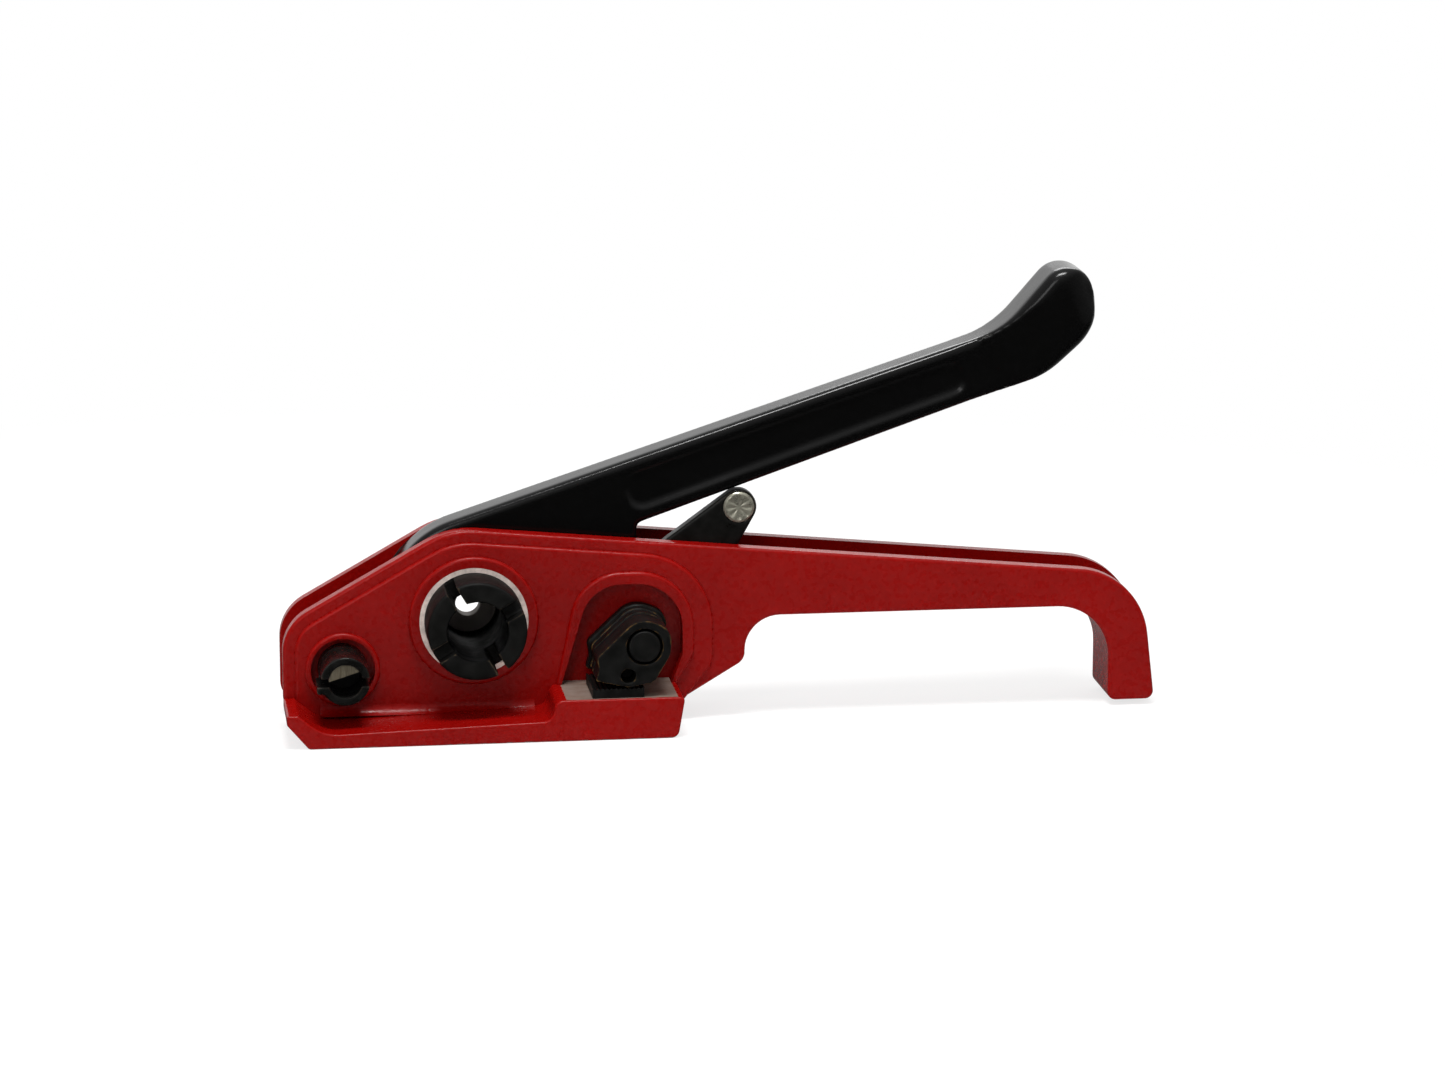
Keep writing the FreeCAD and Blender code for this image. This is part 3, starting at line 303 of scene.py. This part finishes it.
def turned_metal(name, colour, axis, roughness, metallic, pitch_mm=0.6):
    """Lathe-turned metal round a Y axis, a little tarnished."""
    # Tool rings show as faint circles, pitch_mm apart, in a dull sheen.
    material, tree, place = new_finish(name)
    base = linear(colour)
    centred = add(tree, "ShaderNodeMapping", {"Vector": place, "Location": (-axis.x, 0, -axis.z)})
    rings = add(tree, "ShaderNodeTexWave", {
        "Vector": centred, "Scale": 2 * math.pi / 20 * per_mm(pitch_mm), "Distortion": 0.6, "Detail": 2.0},
        wave_type="RINGS", rings_direction="Y")
    tarnish = add(tree, "ShaderNodeTexNoise", {
        "Vector": place, "Scale": per_mm(3.5), "Detail": 4.0, "Roughness": 0.65})
    shader = add(tree, "ShaderNodeBsdfPrincipled", {
        "Base Color": passing(tree, tarnish, 0.33, 0.6, shaded(base, 0.6), base),
        "Roughness": add(tree, "ShaderNodeMapRange", {
            "Value": tarnish, "From Min": 0.3, "From Max": 0.7,
            "To Min": roughness - 0.06, "To Max": roughness + 0.1}),
        "Normal": relief(tree, (rings.outputs["Fac"], 0.02, 0.5)),
        "Metallic": metallic})
    add(tree, "ShaderNodeOutputMaterial", {"Surface": shader})
    return material


def drawn_steel(colour):
    """Oiled steel wire, screws and clips."""
    # Smooth and dark with fairly bright highlights, patchy with oil.
    material, tree, place = new_finish("drawn_steel")
    base = linear(colour)
    patch = add(tree, "ShaderNodeTexNoise", {
        "Vector": place, "Scale": per_mm(2.5), "Detail": 3.0, "Roughness": 0.6})
    grain = add(tree, "ShaderNodeTexNoise", {
        "Vector": place, "Scale": per_mm(0.6), "Detail": 2.0, "Roughness": 0.5})
    shader = add(tree, "ShaderNodeBsdfPrincipled", {
        "Base Color": passing(tree, patch, 0.3, 0.65, shaded(base, 0.55), base),
        "Roughness": add(tree, "ShaderNodeMapRange", {
            "Value": patch, "From Min": 0.3, "From Max": 0.7, "To Min": 0.28, "To Max": 0.42}),
        "Normal": relief(tree, (grain, 0.01, 0.6)),
        "Metallic": 1.0})
    add(tree, "ShaderNodeOutputMaterial", {"Surface": shader})
    return material


def matt_white_paper(colour):
    """Matt white paper of the studio sweep, flagged dark in front of the tool."""
    # Pure white past the tool's shadow; glossy rays see black flags in front, so vertical faces stay deep.
    material, tree, place = new_finish("matt_white_paper")
    paper = add(tree, "ShaderNodeBsdfPrincipled", {
        "Base Color": linear(colour), "Roughness": 0.9, "Specular IOR Level": 0.1})
    distance = add(tree, "ShaderNodeVectorMath", {0: place}, operation="LENGTH").outputs["Value"]
    past_shadow = add(tree, "ShaderNodeMapRange", {
        "Value": distance, "From Min": 0.30, "From Max": 0.60, "To Min": 0.75})
    ray = add(tree, "ShaderNodeLightPath")
    amount = add(tree, "ShaderNodeMath", {
        0: ray.outputs["Is Camera Ray"], 1: past_shadow}, operation="MULTIPLY")
    white = add(tree, "ShaderNodeEmission")
    seen = add(tree, "ShaderNodeMixShader", {0: amount, 1: paper, 2: white})
    depth = add(tree, "ShaderNodeSeparateXYZ", {"Vector": place}).outputs["Y"]
    flagged = add(tree, "ShaderNodeEmission", {"Strength": add(tree, "ShaderNodeMapRange", {
        "Value": depth, "From Min": -0.1, "From Max": 0.5, "To Min": 0.05})})
    mirrored = add(tree, "ShaderNodeMixShader", {0: ray.outputs["Is Glossy Ray"], 1: seen, 2: flagged})
    add(tree, "ShaderNodeOutputMaterial", {"Surface": mirrored})
    return material


# ---- meshes -----------------------------------------------------------------
def finished(mesh_maker, name, material, body, stands_for, smooth_angle=35):
    """Turns a bmesh into a piece that rides on a body and stands for CAD nodes."""
    mesh = bpy.data.meshes.new(name)
    mesh_maker.to_mesh(mesh)
    mesh_maker.free()
    piece = bpy.data.objects.new(name, mesh)
    bpy.context.scene.collection.objects.link(piece)
    mesh.materials.append(material)
    mesh.shade_smooth()
    mesh.set_sharp_from_angle(angle=math.radians(smooth_angle))
    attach(piece, body)
    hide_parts(*stands_for)
    return piece


def centre(node):
    """Middle of a CAD node's box."""
    low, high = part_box(node)
    return (low + high) / 2


def ease(maker):
    """Moves every vertex half way to the mean of its neighbours."""
    bmesh.ops.smooth_vert(maker, verts=maker.verts, factor=0.5, use_axis_x=True, use_axis_y=True,
                          use_axis_z=True)


def softened(node, voxel_mm, passes=3, wear_passes=8, full_wear=0.45):
    """Even-meshed copy of a CAD node with its edges eased, as a bmesh that stores their wear.

    Wear is how far further easing would pull a vertex in, with full_wear of a voxel as the most.
    """
    maker = bmesh.new()
    maker.from_mesh(NODES[node].data)
    bmesh.ops.remove_doubles(maker, verts=maker.verts, dist=1e-6)
    draft = bpy.data.meshes.new("draft")
    maker.to_mesh(draft)
    maker.free()
    holder = bpy.data.objects.new("draft", draft)
    bpy.context.scene.collection.objects.link(holder)
    remesh = holder.modifiers.new("even", "REMESH")
    remesh.mode = "VOXEL"
    remesh.voxel_size = voxel_mm * MM
    even = bpy.data.meshes.new_from_object(holder.evaluated_get(bpy.context.evaluated_depsgraph_get()))
    maker = bmesh.new()
    maker.from_mesh(even)
    for item, data in ((holder, bpy.data.objects), (draft, bpy.data.meshes), (even, bpy.data.meshes)):
        data.remove(item)
    for _ in range(passes):
        ease(maker)
    kept = [vert.co.copy() for vert in maker.verts]
    for _ in range(wear_passes):
        ease(maker)
    maker.normal_update()
    wear = maker.verts.layers.float.new("edge_wear")
    for vert, place in zip(maker.verts, kept):
        pulled_in = (place - vert.co).dot(vert.normal) / (full_wear * voxel_mm * MM)
        vert[wear] = min(max(pulled_in, 0.0), 1.0)
        vert.co = place
    return maker


def peened_pin(radius, axis, front, back, sectors, depth):
    """Pin along Y whose front end is struck into a star of radial facets."""
    profile = [  # share of the radius, place along Y
        (0, front + depth), (0.25, front + depth), (0.68, front + depth * 0.7), (0.84, front),
        (0.93, front + depth * 0.4), (1, front + 1.6 * depth), (1, back - depth), (0.9, back), (0, back)]
    maker = bmesh.new()
    verts = [maker.verts.new((axis.x + share * radius, y, axis.z)) for share, y in profile]
    edges = [maker.edges.new(pair) for pair in zip(verts, verts[1:])]
    bmesh.ops.spin(maker, geom=verts + edges, cent=(axis.x, 0, axis.z), axis=(0, 1, 0), angle=2 * math.pi,
                   steps=sectors * 6, use_merge=True)
    bmesh.ops.remove_doubles(maker, verts=maker.verts, dist=1e-6)
    bmesh.ops.recalc_face_normals(maker, faces=maker.faces)
    for vert in maker.verts:
        across = math.hypot(vert.co.x - axis.x, vert.co.z - axis.z) / radius
        if 0.1 < across < 0.75 and vert.co.y < front + 2 * depth:
            angle = math.atan2(vert.co.z - axis.z, vert.co.x - axis.x)
            vert.co.y += depth * across * math.cos(sectors * angle)
    return maker


def coat(names, material):
    """Gives CAD nodes one finish."""
    coated.update(names)
    for name in names:
        data = NODES[name].data
        data.materials.clear()
        data.materials.append(material)


def settings():
    """The tensioner's settings in the open scene."""
    return bpy.context.scene.tensioner


# ---- stage ------------------------------------------------------------------
def sky_dome(top, side):
    """World light: bright overhead like a soft box, plain and lower round the sides."""
    world = bpy.data.worlds.new("studio")
    bpy.context.scene.world = world
    world.use_nodes = True
    tree = world.node_tree
    tree.nodes.clear()
    direction = add(tree, "ShaderNodeTexCoord").outputs["Generated"]
    height = add(tree, "ShaderNodeSeparateXYZ", {"Vector": direction}).outputs["Z"]
    strength = add(tree, "ShaderNodeMapRange", {
        "Value": height, "From Min": 0.05, "From Max": 0.85, "To Min": side, "To Max": top})
    light = add(tree, "ShaderNodeBackground", {"Strength": strength, "Color": linear("ffffff")})
    add(tree, "ShaderNodeOutputWorld", {"Surface": light})


def aimed(name, data, place, target):
    """Links a lamp or a camera at a place, looking at a target."""
    item = bpy.data.objects.new(name, data)
    bpy.context.scene.collection.objects.link(item)
    item.location = place
    item.rotation_euler = (Vector(target) - Vector(place)).to_track_quat("-Z", "Y").to_euler()
    return item


def soft_lamp(name, place, target, width, height, watts):
    """Rectangular area lamp aimed at a point."""
    data = bpy.data.lights.new(name, "AREA")
    data.shape = "RECTANGLE"
    data.size = width
    data.size_y = height
    data.energy = watts
    aimed(name, data, place, target)


def pale_floor(size, colour, bend_steps=8, bend_run=0.25, wall_height=2.5):
    """White paper sweep: a floor that curves up into a backdrop behind the tool."""
    maker = bmesh.new()
    bmesh.ops.create_grid(maker, x_segments=1, y_segments=1, size=size)
    back = [edge for edge in maker.edges if all(vert.co.y > 0 for vert in edge.verts)]
    bend = [math.radians(90) / bend_steps * (step + 0.5) for step in range(bend_steps)]
    moves = [(0, bend_run * math.cos(angle), bend_run * math.sin(angle)) for angle in bend]
    for move in moves + [(0, 0, wall_height)]:
        grown = bmesh.ops.extrude_edge_only(maker, edges=back)["geom"]
        verts = [part for part in grown if isinstance(part, bmesh.types.BMVert)]
        back = [part for part in grown if isinstance(part, bmesh.types.BMEdge)]
        bmesh.ops.translate(maker, verts=verts, vec=move)
    mesh = bpy.data.meshes.new("floor")
    maker.to_mesh(mesh)
    maker.free()
    floor = bpy.data.objects.new("floor", mesh)
    bpy.context.scene.collection.objects.link(floor)
    floor.location.z = CAD_BOX[0].z
    mesh.materials.append(matt_white_paper(colour))
    mesh.shade_smooth()


def camera(place, target, lens):
    """Camera on a 36 mm wide sensor."""
    data = bpy.data.cameras.new("camera")
    data.lens = lens
    data.sensor_width = 36
    bpy.context.scene.camera = aimed("camera", data, place, target)


# ---- properties -------------------------------------------------------------
class TensionerSettings(bpy.types.PropertyGroup):
    """Colours, sizes and light of the finished tensioner."""

    body_colour: bpy.props.StringProperty(
        name="Body colour", description="Powder coat of the casting, as an sRGB hex value", default="7e0402")
    chip_colour: bpy.props.StringProperty(
        name="Chipped metal", description="Bare casting where the coat is chipped, as an sRGB hex value",
        default="6a5a55")
    handle_colour: bpy.props.StringProperty(
        name="Handle colour", description="Enamel of the handle, as an sRGB hex value", default="050505")
    primer_colour: bpy.props.StringProperty(
        name="Handle primer", description="Primer that shows at the handle's edges, as an sRGB hex value",
        default="55534f")
    steel_colour: bpy.props.StringProperty(
        name="Blackened steel", description="Drum, gripper, sleeve and release lever, as an sRGB hex value",
        default="0a0a09")
    anvil_colour: bpy.props.StringProperty(
        name="Anvil steel", description="Ground anvil plate, as an sRGB hex value", default="9a8a80")
    # Pale bush metal; its pink tint is a painted reflection of the red body.
    bush_colour_with_painted_reflection: bpy.props.StringProperty(
        name="Bush metal", description="Bearing bushes, as an sRGB hex value", default="dfcfc6")
    bright_colour: bpy.props.StringProperty(
        name="Bright steel", description="Cross pin, as an sRGB hex value", default="908e80")
    blade_colour: bpy.props.StringProperty(
        name="Blade steel", description="Lapped end of the cutter's shaft, as an sRGB hex value",
        default="6e6655")
    small_parts_colour: bpy.props.StringProperty(
        name="Small parts", description="Springs, clips, pins and screws, as an sRGB hex value",
        default="7c7a78")
    bore_radius: bpy.props.FloatProperty(
        name="Drum bore radius", description="Radius of the drum's bore", default=0.0107, min=0.001, max=0.015,
        precision=4, unit="LENGTH")
    floor_wall: bpy.props.FloatProperty(
        name="Drum floor", description="Thickness of the drum's end floor", default=0.0074, min=0.001,
        max=0.02, precision=4, unit="LENGTH")
    lens: bpy.props.FloatProperty(
        name="Lens", description="Focal length of the camera", default=124.14, min=20, max=300, unit="CAMERA")
    sky_top: bpy.props.FloatProperty(
        name="Sky overhead", description="Strength of the world's light from above", default=0.85, min=0, max=5)
    sky_side: bpy.props.FloatProperty(
        name="Sky at the sides", description="Strength of the world's light round the sides", default=0.20,
        min=0, max=5)
    key_power: bpy.props.FloatProperty(
        name="Key lamp", description="Power of the lamp in front, in watts", default=5, min=0, max=100)
    rear_power: bpy.props.FloatProperty(
        name="Rear lamp", description="Power of the fill lamp behind, in watts", default=7, min=0, max=100)
    overhead_power: bpy.props.FloatProperty(
        name="Overhead lamp", description="Power of the lamp overhead, in watts", default=17, min=0, max=100)


# ---- operators --------------------------------------------------------------
class TENSIONER_OT_body(bpy.types.Operator):
    """Coat the body casting and dress its anvil and bushes."""

    bl_idname = "tensioner.body"
    bl_label = "Body casting"

    def execute(self, context):
        values = settings()
        coat(["body_casting"], red_powder_coat(values.body_colour, values.chip_colour))
        coat(["anvil_plate"], ground_steel(values.anvil_colour))
        # The bushes' pink tint is a painted reflection of the red body on pale metal.
        bush = turned_metal("sintered_bronze", values.bush_colour_with_painted_reflection, centre("drum_bush_near"), roughness=0.36,
                            metallic=0.15)
        coat(["drum_bush_near", "drum_bush_far"], bush)
        return {"FINISHED"}


class TENSIONER_OT_handle(bpy.types.Operator):
    """Enamel the ratchet handle."""

    bl_idname = "tensioner.handle"
    bl_label = "Ratchet handle"

    def execute(self, context):
        values = settings()
        enamel = black_enamel(values.handle_colour, values.primer_colour)
        finished(softened("handle_lever", voxel_mm=0.8, passes=5), "enamelled_handle", enamel, "handle",
                 ["handle_lever"])
        return {"FINISHED"}


class TENSIONER_OT_drum(bpy.types.Operator):
    """Finish the winding drum, outside and in its bore."""

    bl_idname = "tensioner.drum"
    bl_label = "Winding drum"

    def execute(self, context):
        values = settings()
        floor_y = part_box("windlass_drum")[1].y - values.floor_wall
        # The bore gets painted shade on its walls and a painted lit grey, 77706a, on its end floor.
        bore = {"axis_z": centre("windlass_drum").z, "radius": values.bore_radius, "floor_y": floor_y,
                "painted_lit_floor_colour": "77706a"}
        black = blackened_steel("blackened_drum_steel", values.steel_colour, "3b3226", worn_low=0.7, gloss=0.55,
                                bore=bore, level=0.08)
        finished(softened("windlass_drum", voxel_mm=0.45), "winding_drum", black, "windlass",
                 ["windlass_drum"])
        return {"FINISHED"}


class TENSIONER_OT_gripper(bpy.types.Operator):
    """Finish the gripper cam, its shaft and the serrated plug."""

    bl_idname = "tensioner.gripper"
    bl_label = "Gripper"

    def execute(self, context):
        worn = blackened_steel("worn_black_steel", settings().steel_colour, "5c4420", worn_low=0.75, gloss=0.45)
        finished(softened("gripper_cam", voxel_mm=0.4, passes=2), "toothed_gripper", worn, "gripper",
                 ["gripper_cam"])
        coat(["gripper_shaft", "gripper_plug"], worn)
        return {"FINISHED"}


class TENSIONER_OT_cutter(bpy.types.Operator):
    """Finish the cutter's sleeve and blade."""

    bl_idname = "tensioner.cutter"
    bl_label = "Cutter"

    def execute(self, context):
        values = settings()
        black = blackened_steel("glossy_black_steel", values.steel_colour, "2c2620", worn_low=0.8, gloss=0.26)
        finished(softened("cutter_sleeve", voxel_mm=0.4, passes=2), "shear_sleeve", black, "frame",
                 ["cutter_sleeve"])
        face_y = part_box("cutter_shaft")[0].y + 0.3 * MM
        coat(["cutter_shaft"], lapped_blade_steel(values.blade_colour, values.steel_colour, face_y))
        return {"FINISHED"}


class TENSIONER_OT_release(bpy.types.Operator):
    """Finish the release lever and its bright cross pin."""

    bl_idname = "tensioner.release"
    bl_label = "Release lever"

    def execute(self, context):
        values = settings()
        black = blackened_steel("satin_black_steel", values.steel_colour, "2c2620", worn_low=0.8, gloss=0.34)
        finished(softened("release_lever", voxel_mm=0.5), "release_lever_forging", black, "gripper",
                 ["release_lever"])
        low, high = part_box("release_cross_pin")
        axis = centre("release_cross_pin")
        bright = turned_metal("bright_turned_steel", values.bright_colour, axis, roughness=0.28, metallic=0.6)
        pin = peened_pin((high.x - low.x) / 2, axis, low.y, high.y, sectors=8, depth=0.45 * MM)
        finished(pin, "peened_cross_pin", bright, "gripper", ["release_cross_pin"])
        return {"FINISHED"}


class TENSIONER_OT_inner(bpy.types.Operator):
    """Finish ratchet wheel, pawls, springs, clips, pins and screws."""

    bl_idname = "tensioner.inner"
    bl_label = "Inner parts"

    def execute(self, context):
        values = settings()
        oiled = blackened_steel("oiled_black_steel", values.steel_colour, "4a3a26", worn_low=0.62, gloss=0.36)
        coat(["ratchet_wheel", "drive_pawl", "holding_pawl", "cutter_crank"], oiled)
        coat([name for name in NODES if name not in coated], drawn_steel(values.small_parts_colour))
        return {"FINISHED"}


class TENSIONER_OT_stage(bpy.types.Operator):
    """White sweep, soft light and the camera."""

    bl_idname = "tensioner.stage"
    bl_label = "Stage"

    def execute(self, context):
        values = settings()
        sky_dome(values.sky_top, values.sky_side)
        pale_floor(size=4.0, colour="f6f6f5")
        camera(place=(-0.1356, -1.746, 0.4454), target=(0.091706, 0, 0.061882), lens=values.lens)
        middle = (0.06, 0, 0.05)
        soft_lamp("key", (-0.7, -1.5, 1.0), middle, width=0.6, height=0.6, watts=values.key_power)
        soft_lamp("rear fill", (0.5, 1.5, 1.0), middle, width=1.0, height=0.6, watts=values.rear_power)
        soft_lamp("overhead", (0.0, -0.30, 1.25), (0.05, 0, 0.05), width=0.5, height=0.25,
                  watts=values.overhead_power)
        return {"FINISHED"}


class TENSIONER_PT_panel(bpy.types.Panel):
    """Buttons that build the tensioner piece by piece."""

    bl_label = "Strapping tensioner"
    bl_idname = "TENSIONER_PT_panel"
    bl_space_type = "VIEW_3D"
    bl_region_type = "UI"
    bl_category = "Tensioner"

    def draw(self, context):
        layout = self.layout
        for name in TensionerSettings.__annotations__:
            layout.prop(context.scene.tensioner, name)
        for step in STEPS:
            layout.operator(step.bl_idname)


STEPS = (
    TENSIONER_OT_body, TENSIONER_OT_handle, TENSIONER_OT_drum, TENSIONER_OT_gripper, TENSIONER_OT_cutter,
    TENSIONER_OT_release, TENSIONER_OT_inner, TENSIONER_OT_stage,
)


def register():
    for item in (TensionerSettings, *STEPS, TENSIONER_PT_panel):
        bpy.utils.register_class(item)
    bpy.types.Scene.tensioner = bpy.props.PointerProperty(type=TensionerSettings)


def unregister():
    del bpy.types.Scene.tensioner
    for item in reversed((TensionerSettings, *STEPS, TENSIONER_PT_panel)):
        bpy.utils.unregister_class(item)


def main():
    register()
    scene = bpy.context.scene
    scene.view_settings.view_transform = "Standard"
    for item in list(scene.objects):
        if item.name in ("Cube", "Light", "Camera"):
            bpy.data.objects.remove(item)
    for step in STEPS:
        group, action = step.bl_idname.split(".")
        getattr(getattr(bpy.ops, group), action)()


if __name__ == "__main__":
    main()
